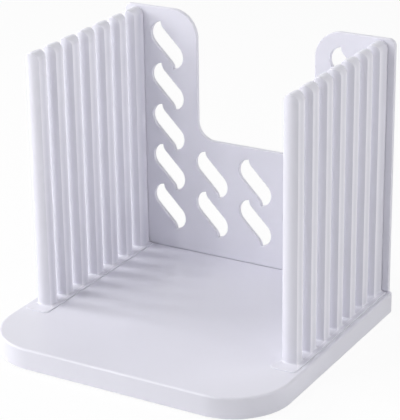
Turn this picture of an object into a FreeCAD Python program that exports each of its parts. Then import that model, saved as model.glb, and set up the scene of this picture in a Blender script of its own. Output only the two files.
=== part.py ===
import FreeCAD, Part
import math
import os

import Sketcher
from FreeCAD import Placement, Rotation, Vector

# A guide that holds a loaf while it is sliced.  A thick board carries a comb of upright posts along
# each side and a notched panel across the back.  The knife runs down through the gaps between the
# posts.  The combs and the panel plug into the board and lift off it.
#
# Frame: X to the right, Y to the back, Z up.  The origin is on the table, under the board's centre.
# Every length is in millimetres.

doc = FreeCAD.newDocument("bread_slicer_guide")

# ---------------------------------------------------------------------------------------------
# Driving dimensions
# ---------------------------------------------------------------------------------------------

DIMENSIONS = [
    # the board
    ("board_width", 174), ("board_depth", 161), ("board_height", 12),
    ("board_front_corner", 33), ("board_rear_corner", 4), ("board_edge", 0.9),
    ("board_wall", 2.5), ("board_skirt", 3), ("rail_depth", 8),
    ("rib_thickness", 1.6), ("rib_pitch", 28), ("rib_count", 5), ("rib_shortfall", 1.5),
    # the rubber feet under it
    ("foot_radius", 6), ("foot_height", 3), ("foot_stand", 0.8), ("foot_play", 0.15),
    ("foot_cup_wall", 1.6), ("foot_outset", 12.5),
    # the combs
    ("comb_offset", 76.75), ("comb_height", 146.6), ("comb_front", -30.2), ("comb_rear", 76),
    ("post_width", 9.7), ("post_depth", 8.4), ("post_pitch", 16), ("gap_count", 6),
    ("post_bulge", 1.4), ("post_edge", 0.7), ("core_width", 6.3), ("core_depth", 6.6),
    ("core_crown", 4), ("clearing", 2),
    ("sole_width", 15), ("sole_front", -38), ("sole_thickness", 1.7), ("sole_corner", 3),
    ("sole_edge", 0.5),
    # the pegs that hold the combs
    ("peg_radius", 2.5), ("peg_length", 8), ("peg_pitch", 32), ("peg_count", 3), ("peg_tip", 0.6),
    ("peg_play", 0.05), ("boss_width", 9), ("socket_spare", 0.8),
    # the back panel
    ("panel_width", 170), ("panel_height", 147.7), ("panel_front", 76.3), ("panel_thickness", 2.8),
    ("panel_corner", 4), ("panel_edge", 0.4), ("notch_width", 75), ("notch_floor", 71.8),
    ("notch_root", 10.7), ("ear_corner", 16),
    ("tab_width", 20), ("tab_pitch", 60), ("tab_count", 3), ("tab_length", 8), ("tab_inset", 0.3),
    ("tab_play", 0.15),
    # the leaf-shaped cut-outs in the panel, measured from a cut-out's middle
    ("leaf_pitch_across", 28.6), ("leaf_pitch_up", 24.9), ("leaf_columns", 5),
    ("leaf_low_rows", 2), ("leaf_ear_rows", 3), ("leaf_lowest", 26),
    ("leaf_tip_x", 4.1), ("leaf_tip_z", 13.8), ("leaf_neck_x", 2.2), ("leaf_neck_z", 9.6),
    ("leaf_shoulder_x", 8.2), ("leaf_shoulder_z", 0.8),
]

sheet = doc.addObject("Spreadsheet::Sheet", "Size")
for row, (alias, length) in enumerate(DIMENSIONS, start=1):
    sheet.set("A%d" % row, alias)
    sheet.set("B%d" % row, str(length))
    sheet.setAlias("B%d" % row, alias)
doc.recompute()


def value(expression):
    """The number that an expression over the sheet's aliases stands for."""
    result = sheet.evalExpression(expression.replace("Size.", ""))
    return float(getattr(result, "Value", result))


# ---------------------------------------------------------------------------------------------
# Sketch helpers: geometry is drawn near its place, then tied to the sheet by constraints
# ---------------------------------------------------------------------------------------------

def new_body(label):
    """A body whose label is the sub-part's name."""
    body = doc.addObject("PartDesign::Body", label)
    body.Label = label
    return body


def datum(body, role):
    """One of the body's own origin planes or axes."""
    for feature in body.Origin.OriginFeatures:
        if feature.Role == role:
            return feature
    raise ValueError("no origin feature " + role)


def new_sketch(body, name, role="XY_Plane", lift=None):
    """A sketch on an origin plane, moved along the plane's normal by an expression."""
    sketch = body.newObject("Sketcher::SketchObject", name)
    sketch.AttachmentSupport = [(datum(body, role), "")]
    sketch.MapMode = "FlatFace"
    if lift:
        sketch.setExpression("AttachmentOffset.Base.z", lift)
    return sketch


def dimension(sketch, expression, kind, *refs):
    """A driving constraint that reads its value from the sheet."""
    index = sketch.addConstraint(Sketcher.Constraint(kind, *refs, value(expression)))
    sketch.setExpression("Constraints[%d]" % index, expression)


def place(sketch, geo, pos, x=None, y=None):
    """Fixes a point of the sketch at coordinates given as expressions."""
    for kind, axis, expression in (("DistanceX", -2, x), ("DistanceY", -1, y)):
        if expression is None:
            continue
        amount = value(expression)
        if abs(amount) < 1e-9:
            sketch.addConstraint(Sketcher.Constraint("PointOnObject", geo, pos, axis))
        elif amount > 0:
            dimension(sketch, expression, kind, -1, 1, geo, pos)
        else:
            dimension(sketch, "-(%s)" % expression, kind, geo, pos, -1, 1)


def end_at(sketch, geo, point):
    """Which end of a line or arc, 1 or 2, lies at the point."""
    ends = [sketch.getPoint(geo, pos) for pos in (1, 2)]
    gaps = [end.distanceToPoint(point) for end in ends]
    return 1 if gaps[0] < gaps[1] else 2


def join(sketch, first, second, point, kind="Coincident"):
    """Ties the ends of two pieces together at the point, smoothly if kind is Tangent."""
    sketch.addConstraint(Sketcher.Constraint(
        kind, first, end_at(sketch, first, point), second, end_at(sketch, second, point)))


def profile(sketch, corners):
    """A closed outline of level and upright lines.  Each corner is (x, y, radius or None)."""
    count = len(corners)
    points = [Vector(value(x), value(y), 0) for x, y, radius in corners]
    radii = [value(radius) if radius else 0.0 for x, y, radius in corners]
    ways = [(points[(i + 1) % count] - points[i]).normalize() for i in range(count)]
    starts = [points[i] + ways[i] * radii[i] for i in range(count)]
    stops = [points[i] - ways[i - 1] * radii[i] for i in range(count)]
    lines = [sketch.addGeometry(Part.LineSegment(starts[i], stops[(i + 1) % count]), False)
             for i in range(count)]
    for i, (x, y, radius) in enumerate(corners):
        upright = abs(ways[i].x) < 0.5
        sketch.addConstraint(Sketcher.Constraint("Vertical" if upright else "Horizontal", lines[i]))
        if radius:
            centre = stops[i] + ways[i] * radii[i]
            middle = centre + (points[i] - centre).normalize() * radii[i]
            arc = sketch.addGeometry(Part.Arc(stops[i], middle, starts[i]), False)
            join(sketch, lines[i - 1], arc, stops[i], "Tangent")
            join(sketch, arc, lines[i], starts[i], "Tangent")
            dimension(sketch, radius, "Radius", arc)
        else:
            join(sketch, lines[i - 1], lines[i], points[i])
        if upright:
            place(sketch, lines[i], 1, x=x)
        else:
            place(sketch, lines[i], 1, y=y)


def block(sketch, left, right, low, high, radius=None):
    """A rectangle between four coordinates, with all its corners rounded if a radius is given."""
    profile(sketch, [(left, low, radius), (right, low, radius),
                     (right, high, radius), (left, high, radius)])


def circle(sketch, x, y, radius):
    """A circle at a fixed centre."""
    geo = sketch.addGeometry(Part.Circle(Vector(value(x), value(y), 0), Vector(0, 0, 1),
                                         value(radius)), False)
    dimension(sketch, radius, "Radius", geo)
    place(sketch, geo, 3, x=x, y=y)


# ---------------------------------------------------------------------------------------------
# Feature helpers
# ---------------------------------------------------------------------------------------------

def pad(body, name, sketch, length, down=False):
    """Adds material over a sketch, along its normal or against it."""
    feature = body.newObject("PartDesign::Pad", name)
    feature.Profile = sketch
    feature.Reversed = down
    feature.setExpression("Length", length)
    doc.recompute()
    return feature


def pocket(body, name, sketch, length=None, up=False):
    """Cuts material under a sketch, or above it, to a depth or through everything both ways."""
    before = body.Shape.Volume
    feature = body.newObject("PartDesign::Pocket", name)
    feature.Profile = sketch
    feature.Reversed = up
    if length:
        feature.setExpression("Length", length)
    else:
        feature.Type = "ThroughAll"
        feature.Midplane = True
    doc.recompute()
    if body.Shape.Volume >= before:
        raise RuntimeError("%s cuts nothing from %s" % (name, body.Label))
    return feature


def repeat(body, name, originals, role, spacing, count):
    """Repeats features along one of the body's axes at an even spacing."""
    feature = body.newObject("PartDesign::LinearPattern", name)
    feature.Originals = originals
    feature.Direction = (datum(body, role), [""])
    feature.setExpression("Occurrences", count)
    feature.setExpression("Length", "%s * (%s - 1)" % (spacing, count))
    body.Tip = feature
    doc.recompute()
    return feature


def repeat_grid(body, name, originals, across, up):
    """Repeats features along X and then along Z; each way is (spacing, count)."""
    multi = body.newObject("PartDesign::MultiTransform", name)
    multi.Originals = originals
    steps = []
    for role, (spacing, count) in (("X_Axis", across), ("Z_Axis", up)):
        step = body.newObject("PartDesign::LinearPattern", name + role[0])
        step.Direction = (datum(body, role), [""])
        step.setExpression("Occurrences", count)
        step.setExpression("Length", "%s * (%s - 1)" % (spacing, count))
        steps.append(step)
    multi.Transformations = steps
    body.Tip = multi
    doc.recompute()
    return multi


def edges_where(body, test):
    """Names of the body's edges that pass a test of the edge and of a point halfway along it."""
    names = []
    for number, edge in enumerate(body.Shape.Edges, start=1):
        middle = edge.valueAt((edge.FirstParameter + edge.LastParameter) / 2)
        if test(edge, middle):
            names.append("Edge%d" % number)
    if not names:
        raise RuntimeError("no edge of %s passes the test" % body.Label)
    return names


def soften(body, name, size, test):
    """Bevels the edges that pass a test."""
    names = edges_where(body, test)
    carrier = body.Tip
    feature = body.newObject("PartDesign::Chamfer", name)
    feature.Base = (carrier, names)
    feature.setExpression("Size", size)
    body.Tip = feature
    doc.recompute()


def near(a, b):
    """Whether two lengths are the same to a hundredth."""
    return abs(a - b) < 0.01


def flat_at(edge, height):
    """Whether an edge lies wholly at one height."""
    return near(edge.BoundBox.ZMin, height) and near(edge.BoundBox.ZMax, height)


# ---------------------------------------------------------------------------------------------
# Board
# ---------------------------------------------------------------------------------------------

def build_base():
    """A shallow hollow moulding with ribs, peg bosses, foot cups and a slotted rear rail."""
    body = new_body("base")
    half_width = "Size.board_width / 2"
    half_depth = "Size.board_depth / 2"
    front_corner = "Size.board_front_corner"
    rear_corner = "Size.board_rear_corner"
    outline = new_sketch(body, "Outline")
    profile(outline, [
        ("-" + half_width, "-" + half_depth, front_corner),
        (half_width, "-" + half_depth, front_corner),
        (half_width, half_depth, rear_corner),
        ("-" + half_width, half_depth, rear_corner)])
    pad(body, "Board", outline, "Size.board_height")
    top = value("Size.board_height")
    soften(body, "TopEdge", "Size.board_edge", lambda edge, middle: flat_at(edge, top))

    # The underside is hollow except for the outer wall and the rail that takes the panel's tabs.
    inner_width = "Size.board_width / 2 - Size.board_skirt"
    inner_front = "-(Size.board_depth / 2 - Size.board_skirt)"
    inner_rear = "Size.board_depth / 2 - Size.rail_depth"
    inner_corner = "Size.board_front_corner - Size.board_skirt"
    hollow = new_sketch(body, "Hollow")
    profile(hollow, [
        ("-(%s)" % inner_width, inner_front, inner_corner),
        (inner_width, inner_front, inner_corner),
        (inner_width, inner_rear, "Size.board_edge"),
        ("-(%s)" % inner_width, inner_rear, "Size.board_edge")])
    pocket(body, "Underside", hollow, "Size.board_height - Size.board_wall", up=True)

    # Ribs run both ways under the top.  They stop short of the table.
    rib_height = "Size.board_height - Size.board_wall / 2 - Size.rib_shortfall"
    first_rib = "-Size.rib_pitch * (Size.rib_count - 1) / 2"
    first_cross = "-Size.rib_pitch * (Size.rib_count - 2) / 2"
    long_rib = new_sketch(body, "LongRib", lift="Size.rib_shortfall")
    block(long_rib, first_rib + " - Size.rib_thickness / 2", first_rib + " + Size.rib_thickness / 2",
          "-Size.board_depth / 2 + Size.board_skirt / 2", inner_rear + " + Size.board_edge")
    long_pad = pad(body, "LongRibPad", long_rib, rib_height)
    repeat(body, "LongRibs", [long_pad], "X_Axis", "Size.rib_pitch", "Size.rib_count")
    cross_rib = new_sketch(body, "CrossRib", lift="Size.rib_shortfall")
    block(cross_rib, "-Size.board_width / 2 + Size.board_skirt / 2",
          "Size.board_width / 2 - Size.board_skirt / 2",
          first_cross + " - Size.rib_thickness / 2", first_cross + " + Size.rib_thickness / 2")
    cross_pad = pad(body, "CrossRibPad", cross_rib, rib_height)
    repeat(body, "CrossRibs", [cross_pad], "Y_Axis", "Size.rib_pitch", "Size.rib_count - 1")

    # A round cup under each corner holds a foot.
    cups = new_sketch(body, "Cups")
    cup_hollows = new_sketch(body, "CupHollows")
    for x, y in foot_places():
        circle(cups, x, y, "Size.foot_radius + Size.foot_play + Size.foot_cup_wall")
        circle(cup_hollows, x, y, "Size.foot_radius + Size.foot_play")
    pad(body, "CupWalls", cups, "Size.board_height - Size.board_wall / 2")
    pocket(body, "CupRecesses", cup_hollows, "Size.foot_height - Size.foot_stand", up=True)

    # A boss with a blind hole from above takes each peg of the combs.
    for side, sign in (("Left", "-"), ("Right", "")):
        x = sign + "Size.comb_offset"
        boss = new_sketch(body, side + "Boss")
        block(boss, x + " - Size.boss_width / 2", x + " + Size.boss_width / 2",
              first_peg() + " - Size.boss_width / 2", first_peg() + " + Size.boss_width / 2")
        boss_pad = pad(body, side + "BossPad", boss, "Size.board_height - Size.board_wall / 2")
        repeat(body, side + "Bosses", [boss_pad], "Y_Axis", "Size.peg_pitch", "Size.peg_count")
        bore = new_sketch(body, side + "Bore", lift="Size.board_height")
        circle(bore, x, first_peg(), "Size.peg_radius + Size.peg_play")
        bore_cut = pocket(body, side + "BoreCut", bore, "Size.peg_length + Size.socket_spare")
        repeat(body, side + "Bores", [bore_cut], "Y_Axis", "Size.peg_pitch", "Size.peg_count")

    # Slots in the rail take the tabs of the back panel.
    slot = new_sketch(body, "TabSlot", lift="Size.board_height")
    tab_half = "Size.tab_width / 2 + Size.tab_play"
    first_tab = "-Size.tab_pitch * (Size.tab_count - 1) / 2"
    block(slot, "%s - (%s)" % (first_tab, tab_half), "%s + %s" % (first_tab, tab_half),
          "Size.panel_front + Size.tab_inset - Size.tab_play",
          "Size.panel_front + Size.panel_thickness - Size.tab_inset + Size.tab_play")
    slot_cut = pocket(body, "TabSlotCut", slot, "Size.tab_length + Size.socket_spare")
    repeat(body, "TabSlots", [slot_cut], "X_Axis", "Size.tab_pitch", "Size.tab_count")
    body.setExpression("Placement.Base.z", "Size.foot_stand")


def first_peg():
    """Y of the first peg: halfway along the gap between the first and second posts."""
    return "Size.comb_front + (Size.post_depth + Size.post_pitch) / 2"


def foot_places():
    """X and Y of the four feet, just inside the board's corners."""
    x = "(Size.board_width / 2 - Size.board_front_corner + Size.foot_outset)"
    y = "(Size.board_depth / 2 - Size.board_front_corner + Size.foot_outset)"
    return [("-" + x, "-" + y), (x, "-" + y), ("-" + x, y), (x, y)]


# ---------------------------------------------------------------------------------------------
# Feet
# ---------------------------------------------------------------------------------------------

def build_foot(label, x, y):
    """A rubber disc, pressed into its cup from below."""
    body = new_body(label)
    disc = new_sketch(body, "Disc")
    circle(disc, "0", "0", "Size.foot_radius")
    pad(body, "DiscPad", disc, "Size.foot_height")
    body.setExpression("Placement.Base.x", x)
    body.setExpression("Placement.Base.y", y)


# ---------------------------------------------------------------------------------------------
# Combs
# ---------------------------------------------------------------------------------------------

BOARD_TOP = "Size.foot_stand + Size.board_height"


def gap_outline(sketch, low, high, low_bulge, high_bulge):
    """The plan of a cut across the comb.  Its low and high sides are hollowed to leave the convex
    faces of the posts next to it."""
    half = "Size.post_width / 2"
    wide = "Size.post_width / 2 + Size.clearing"
    w, x = value(half), value(wide)
    y0, y1 = value(low), value(high)
    bulge = value("Size.post_bulge")
    loop = []
    for y, y_text, way, bulged in ((y0, low, 1, low_bulge), (y1, high, -1, high_bulge)):
        start, stop = Vector(-way * x, y, 0), Vector(way * x, y, 0)
        if not bulged:
            loop.append((Part.LineSegment(start, stop), start, stop))
            continue
        near_side, far_side = Vector(-way * w, y, 0), Vector(way * w, y, 0)
        crest = Vector(0, y + way * bulge, 0)
        loop.append((Part.LineSegment(start, near_side), start, near_side))
        loop.append((Part.Arc(near_side, crest, far_side), near_side, far_side))
        loop.append((Part.LineSegment(far_side, stop), far_side, stop))
    pieces = []
    for index, (curve, start, stop) in enumerate(loop):
        pieces.append((sketch.addGeometry(curve, False), start, stop))
        following = loop[(index + 1) % len(loop)][1]
        if stop.distanceToPoint(following) > 1:
            side = sketch.addGeometry(Part.LineSegment(stop, following), False)
            pieces.append((side, stop, following))
    for index, (geo, start, stop) in enumerate(pieces):
        join(sketch, geo, pieces[(index + 1) % len(pieces)][0], stop)
        text_x = {x: wide, -x: "-(%s)" % wide, w: half, -w: "-(%s)" % half}[start.x]
        place(sketch, geo, end_at(sketch, geo, start), x=text_x, y=low if start.y == y0 else high)
        if isinstance(sketch.Geometry[geo], Part.ArcOfCircle):
            dimension(sketch, "((%s)^2 + Size.post_bulge^2) / (2 * Size.post_bulge)" % half,
                      "Radius", geo)


def build_comb(label, offset):
    """A sole, a round-topped wall cut into posts by gaps for the knife, and pegs underneath."""
    body = new_body(label)
    half_sole = "Size.sole_width / 2"
    plan = new_sketch(body, "SolePlan")
    profile(plan, [
        ("-" + half_sole, "Size.sole_front", "Size.sole_corner"),
        (half_sole, "Size.sole_front", "Size.sole_corner"),
        (half_sole, "Size.comb_rear", None),
        ("-" + half_sole, "Size.comb_rear", None)])
    pad(body, "Sole", plan, "Size.sole_thickness")
    sole_top = value("Size.sole_thickness")
    soften(body, "SoleEdge", "Size.sole_edge", lambda edge, middle: flat_at(edge, sole_top))

    # The wall has the posts' round-topped section and runs the comb's whole length.
    half = "Size.post_width / 2"
    section = new_sketch(body, "WallSection", "XZ_Plane", "-Size.comb_rear")
    wall_outline(section)
    pad(body, "Wall", section,
        "Size.comb_rear - Size.comb_front + Size.post_bulge + Size.clearing / 2")

    # One cut shapes the front of the first post, and the others open the gaps between the posts.
    nose = new_sketch(body, "NosePlan", lift="Size.sole_thickness")
    gap_outline(nose, "Size.comb_front - Size.post_bulge - Size.clearing", "Size.comb_front",
                False, True)
    pocket(body, "Nose", nose, "Size.comb_height", up=True)
    gap = new_sketch(body, "GapPlan", lift="Size.sole_thickness")
    gap_outline(gap, "Size.comb_front + Size.post_depth", "Size.comb_front + Size.post_pitch",
                True, True)
    gap_cut = pocket(body, "Gap", gap, "Size.comb_height", up=True)
    repeat(body, "Gaps", [gap_cut], "Y_Axis", "Size.post_pitch", "Size.gap_count")

    # Each post has bevelled corners and a bevelled crown.
    crown = value("Size.comb_height - Size.post_width / 2")
    post_side = value(half)

    def rims_a_post(edge, middle):
        upright = near(abs(middle.x), post_side) and edge.BoundBox.ZLength > 1
        over_crown = middle.z > crown + 1
        return (upright or over_crown) and middle.z > sole_top

    soften(body, "PostEdges", "Size.post_edge", rims_a_post)

    # The posts are cored from below so that their walls stay even.
    core = new_sketch(body, "CorePlan")
    middle_of_post = "Size.comb_front + Size.post_depth / 2"
    block(core, "-Size.core_width / 2", "Size.core_width / 2",
          middle_of_post + " - Size.core_depth / 2", middle_of_post + " + Size.core_depth / 2")
    core_cut = pocket(body, "Core", core, "Size.comb_height - Size.core_crown", up=True)
    repeat(body, "Cores", [core_cut], "Y_Axis", "Size.post_pitch", "Size.gap_count + 1")

    pegs = new_sketch(body, "PegPlan")
    circle(pegs, "0", first_peg(), "Size.peg_radius")
    peg = pad(body, "Peg", pegs, "Size.peg_length", down=True)
    repeat(body, "Pegs", [peg], "Y_Axis", "Size.peg_pitch", "Size.peg_count")
    peg_end = -value("Size.peg_length")
    soften(body, "PegTips", "Size.peg_tip", lambda edge, middle: flat_at(edge, peg_end))
    body.setExpression("Placement.Base.x", offset)
    body.setExpression("Placement.Base.z", BOARD_TOP)


def wall_outline(sketch):
    """Upright sides under a half-circle."""
    half = "Size.post_width / 2"
    spring = "Size.comb_height - Size.post_width / 2"
    corners = [("-(%s)" % half, "0"), (half, "0"), (half, spring), ("-(%s)" % half, spring)]
    points = [Vector(value(x), value(y), 0) for x, y in corners]
    crest = Vector(0, value("Size.comb_height"), 0)
    curves = [Part.LineSegment(points[0], points[1]), Part.LineSegment(points[1], points[2]),
              Part.Arc(points[2], crest, points[3]), Part.LineSegment(points[3], points[0])]
    pieces = [sketch.addGeometry(curve, False) for curve in curves]
    for index, (x, y) in enumerate(corners):
        join(sketch, pieces[index - 1], pieces[index], points[index])
        place(sketch, pieces[index], end_at(sketch, pieces[index], points[index]), x=x, y=y)
    place(sketch, pieces[2], 3, y=spring)


# ---------------------------------------------------------------------------------------------
# Back panel
# ---------------------------------------------------------------------------------------------

def tangent_arc(start, way, stop):
    """The arc from start to stop that sets out along a direction."""
    chord = stop - start
    square = Vector(-chord.y, chord.x, 0).normalize()
    turn = math.atan2(way.dot(square), way.dot(chord) / chord.Length)
    crest = (start + stop) / 2 + square * (chord.Length / 2 * math.tan(turn / 2))
    return Part.Arc(start, crest, stop)


def leaf(sketch, column, row):
    """A slanting S-shaped leaf.  Its two halves are the same, half a turn apart."""
    lines = []
    for sign in (1, -1):
        def at(x, z):
            return Vector(sign * value(x) + value(column), sign * value(z) + value(row), 0)

        neck = at("-Size.leaf_neck_x", "Size.leaf_neck_z")
        shoulder = at("Size.leaf_shoulder_x", "-Size.leaf_shoulder_z")
        tip = at("Size.leaf_tip_x", "-Size.leaf_tip_z")
        other_neck = at("Size.leaf_neck_x", "-Size.leaf_neck_z")
        way = (shoulder - neck).normalize()
        line = sketch.addGeometry(Part.LineSegment(neck, shoulder), False)
        belly = sketch.addGeometry(tangent_arc(shoulder, way, tip), False)
        hollow = sketch.addGeometry(tangent_arc(other_neck, way, tip), False)
        join(sketch, line, belly, shoulder, "Tangent")
        join(sketch, belly, hollow, tip)
        lines.append((line, hollow, neck, other_neck))
        mark = "-" if sign > 0 else ""
        back = "" if sign > 0 else "-"
        place(sketch, line, 1, x="%s %sSize.leaf_neck_x" % (column + " +", mark),
              y="%s %sSize.leaf_neck_z" % (row + " +", back))
        place(sketch, line, 2, x="%s %sSize.leaf_shoulder_x" % (column + " +", back),
              y="%s %sSize.leaf_shoulder_z" % (row + " +", mark))
        place(sketch, belly, end_at(sketch, belly, tip),
              x="%s %sSize.leaf_tip_x" % (column + " +", back),
              y="%s %sSize.leaf_tip_z" % (row + " +", mark))
    (line, hollow, neck, other_neck), (line2, hollow2, neck2, other_neck2) = lines
    join(sketch, hollow, line2, other_neck, "Tangent")
    join(sketch, hollow2, line, other_neck2, "Tangent")


def build_panel():
    """A thin upright panel with a wide notch between two ears, pierced by slanting leaves."""
    body = new_body("back_panel")
    half = "Size.panel_width / 2"
    ear = "Size.notch_width / 2"
    outline = new_sketch(body, "Outline", "XZ_Plane")
    profile(outline, [
        ("-" + half, "0", None), (half, "0", None),
        (half, "Size.panel_height", "Size.panel_corner"),
        (ear, "Size.panel_height", "Size.ear_corner"),
        (ear, "Size.notch_floor", "Size.notch_root"),
        ("-" + ear, "Size.notch_floor", "Size.notch_root"),
        ("-" + ear, "Size.panel_height", "Size.ear_corner"),
        ("-" + half, "Size.panel_height", "Size.panel_corner")])
    pad(body, "Sheet", outline, "Size.panel_thickness", down=True)
    soften(body, "SheetEdges", "Size.panel_edge",
           lambda edge, middle: edge.BoundBox.YLength < 0.01 and edge.BoundBox.ZMax > 1)

    # Tabs stand in from both faces, so that shoulders rest on the board beside them.
    tab = new_sketch(body, "TabPlan")
    first_tab = "-Size.tab_pitch * (Size.tab_count - 1) / 2"
    block(tab, first_tab + " - Size.tab_width / 2", first_tab + " + Size.tab_width / 2",
          "Size.tab_inset", "Size.panel_thickness - Size.tab_inset")
    tab_pad = pad(body, "Tab", tab, "Size.tab_length", down=True)
    repeat(body, "Tabs", [tab_pad], "X_Axis", "Size.tab_pitch", "Size.tab_count")

    # Two rows of leaves run across below the notch, and three more stand in each ear.
    first_column = "-Size.leaf_pitch_across * (Size.leaf_columns - 1) / 2"
    low_leaf = new_sketch(body, "LowLeaf", "XZ_Plane")
    leaf(low_leaf, first_column, "Size.leaf_lowest")
    low_cut = pocket(body, "LowLeafCut", low_leaf)
    repeat_grid(body, "LowLeaves", [low_cut],
                ("Size.leaf_pitch_across", "Size.leaf_columns"),
                ("Size.leaf_pitch_up", "Size.leaf_low_rows"))
    ear_leaf = new_sketch(body, "EarLeaf", "XZ_Plane")
    leaf(ear_leaf, first_column, "Size.leaf_lowest + Size.leaf_pitch_up * Size.leaf_low_rows")
    ear_cut = pocket(body, "EarLeafCut", ear_leaf)
    repeat_grid(body, "EarLeaves", [ear_cut],
                ("Size.leaf_pitch_across * (Size.leaf_columns - 1)", "2"),
                ("Size.leaf_pitch_up", "Size.leaf_ear_rows"))
    body.setExpression("Placement.Base.y", "Size.panel_front")
    body.setExpression("Placement.Base.z", BOARD_TOP)


# ---------------------------------------------------------------------------------------------
# The whole object
# ---------------------------------------------------------------------------------------------

build_base()
for label, (x, y) in zip(("foot_front_left", "foot_front_right", "foot_rear_left",
                          "foot_rear_right"), foot_places()):
    build_foot(label, x, y)
build_comb("left_comb", "-Size.comb_offset")
build_comb("right_comb", "Size.comb_offset")
build_panel()
doc.recompute()

for item in doc.Objects:
    if "Invalid" in item.State or "Error" in item.State:
        raise RuntimeError("%s (%s) failed: %s" % (item.Name, item.Label, item.State))

os.makedirs("parts", exist_ok=True)
for body in doc.findObjects("PartDesign::Body"):
    if body.Shape.isNull() or not body.Shape.isValid() or len(body.Shape.Solids) != 1:
        raise RuntimeError("%s is not one sound solid" % body.Label)
    body.Shape.exportStep("parts/%s.step" % body.Label)
    print("%-18s %9.1f mm3  %s" % (body.Label, body.Shape.Volume, body.Shape.BoundBox))
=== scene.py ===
# %% [markdown]
# # A bread slicer guide, dressed in white moulded plastic
#
# The real object is a board with a comb of posts down each side and a notched, pierced panel at
# the back. A loaf stands on the board and the gaps between the posts keep the knife upright.
# Apart from the rubber feet all of it is one glossy plastic, so the looks rest on three things:
# clean rounded edges that catch the light, soft broad reflections, and a tint that is only just
# not white.
#
# The places and outer sizes come from a fixed engineering model. This lesson rebuilds each part
# of it as a finer mesh in the same place, gives it a finish, and sets up the light and the
# camera.

# %% Load the fixed frame
import math

import bmesh
import bpy
from mathutils import Matrix, Vector


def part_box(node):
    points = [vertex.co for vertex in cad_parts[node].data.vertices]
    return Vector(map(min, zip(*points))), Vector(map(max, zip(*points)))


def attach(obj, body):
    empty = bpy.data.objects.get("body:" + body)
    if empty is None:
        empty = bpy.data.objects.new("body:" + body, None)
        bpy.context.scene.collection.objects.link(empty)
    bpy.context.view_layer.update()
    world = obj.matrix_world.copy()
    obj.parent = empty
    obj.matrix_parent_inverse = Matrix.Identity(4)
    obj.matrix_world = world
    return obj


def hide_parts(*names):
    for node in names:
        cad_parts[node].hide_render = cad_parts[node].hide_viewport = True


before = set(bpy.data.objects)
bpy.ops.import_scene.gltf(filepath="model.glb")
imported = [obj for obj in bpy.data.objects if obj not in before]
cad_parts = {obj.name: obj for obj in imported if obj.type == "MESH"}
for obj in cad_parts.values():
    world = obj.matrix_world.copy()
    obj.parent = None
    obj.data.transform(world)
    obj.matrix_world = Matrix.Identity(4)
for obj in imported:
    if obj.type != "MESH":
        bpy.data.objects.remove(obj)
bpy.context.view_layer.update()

# %% [markdown]
# ## Working in millimetres
#
# Blender counts in metres, but a moulded part is designed in millimetres. Sizes are written in
# millimetres here and turned into metres in one place, when a mesh is made. The places of the
# big parts are read from the frame, so that they can't drift away from the engineering model.

# %% Places and sizes taken from the frame
MM = 0.001


def box_mm(node):
    """Lowest and highest corner of a part of the frame, in millimetres."""
    low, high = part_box(node)
    return low / MM, high / MM


board_low, board_high = box_mm("base")
comb_low, comb_high = box_mm("right_comb")
panel_low, panel_high = box_mm("back_panel")
foot_low, foot_high = box_mm("foot_front_left")

BOARD_TOP = board_high.z
BOARD_HALF_WIDTH = board_high.x
BOARD_FRONT, BOARD_REAR = board_low.y, board_high.y
print("the board's top is", round(BOARD_TOP, 2), "mm above the table")

# %% Sizes inside the parts, in millimetres
POST_WIDTH, POST_DEPTH, POST_BULGE, POST_EDGE, SIDE_BOW = 8.9, 9.2, 1.5, 0.45, 0.4
POST_PITCH, GAPS = 16.0, 6
FIRST_POST = -30.6
COMB_CENTRE = (comb_low.x + comb_high.x) / 2
COMB_HALF = (comb_high.x - comb_low.x) / 2
COMB_REAR = comb_high.y
SOLE_THICKNESS, SOLE_CORNER, SOLE_REAR_CORNER, SOLE_EDGE = 0.55, 3.0, 1.0, 0.4
ROOT_ROUND = 0.9
PEG_RADIUS, PEG_LENGTH, PEG_PITCH, PEGS, PEG_TIP = 2.5, 8.0, 32.0, 3, 0.6
print("a knife has", round(POST_PITCH - POST_DEPTH, 1), "mm between two posts")

# %% [markdown]
# ## The camera
#
# A long lens a good way off keeps the posts almost parallel, where a short one close by would
# splay them. The camera is placed by where it looks, from what side and how high, which is
# easier to adjust than three coordinates and three angles.

# %% Place the camera
LENS_MM = 158.3
LOOK_AT = Vector((68.2, -104.6, 123.4)) * MM
DISTANCE = 813.5 * MM
AZIMUTH, ELEVATION, ROLL = math.radians(30.1), math.radians(21.67), math.radians(-0.81)


def direction(azimuth, elevation):
    """Unit vector from the object towards a viewer or a lamp. Azimuth 0 is the front."""
    return Vector((math.sin(azimuth) * math.cos(elevation),
                   -math.cos(azimuth) * math.cos(elevation),
                   math.sin(elevation)))


camera_data = bpy.data.cameras.new("camera")
camera_data.sensor_fit = "HORIZONTAL"
camera_data.lens = LENS_MM
camera = bpy.data.objects.new("camera", camera_data)
bpy.context.collection.objects.link(camera)
towards_camera = direction(AZIMUTH, ELEVATION)
turn = towards_camera.to_track_quat("Z", "Y").to_matrix().to_4x4()
camera.matrix_world = (Matrix.Translation(LOOK_AT + towards_camera * DISTANCE)
                       @ turn @ Matrix.Rotation(ROLL, 4, "Z"))
bpy.context.scene.camera = camera
print("camera at", [round(value / MM) for value in camera.matrix_world.translation], "mm")

# %% [markdown]
# ## The floor and the light
#
# The floor is a very pale sheet. For rays that come straight from the camera, or by way of a
# reflection, most of it is plain white; the small rest is ordinary paint, which keeps a faint
# shadow under the object. The walls of the studio are bright low down and dark overhead, so
# that upright faces stay pale while flat ones are left to the lamps. The strongest lamp stands
# low at the left and throws the stripes between the posts across the board. Weaker ones fill
# in from above, from the front and from the right.

# %% Node helpers
def node(tree, kind, **settings):
    """Adds a node and sets its properties and, by name, the values of its inputs."""
    made = tree.nodes.new(kind)
    for key, setting in settings.items():
        if hasattr(made, key):
            setattr(made, key, setting)
        else:
            made.inputs[key.replace("_", " ")].default_value = setting
    return made


def link(tree, output, target):
    """Joins an output socket to an input socket."""
    tree.links.new(output, target)


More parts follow.
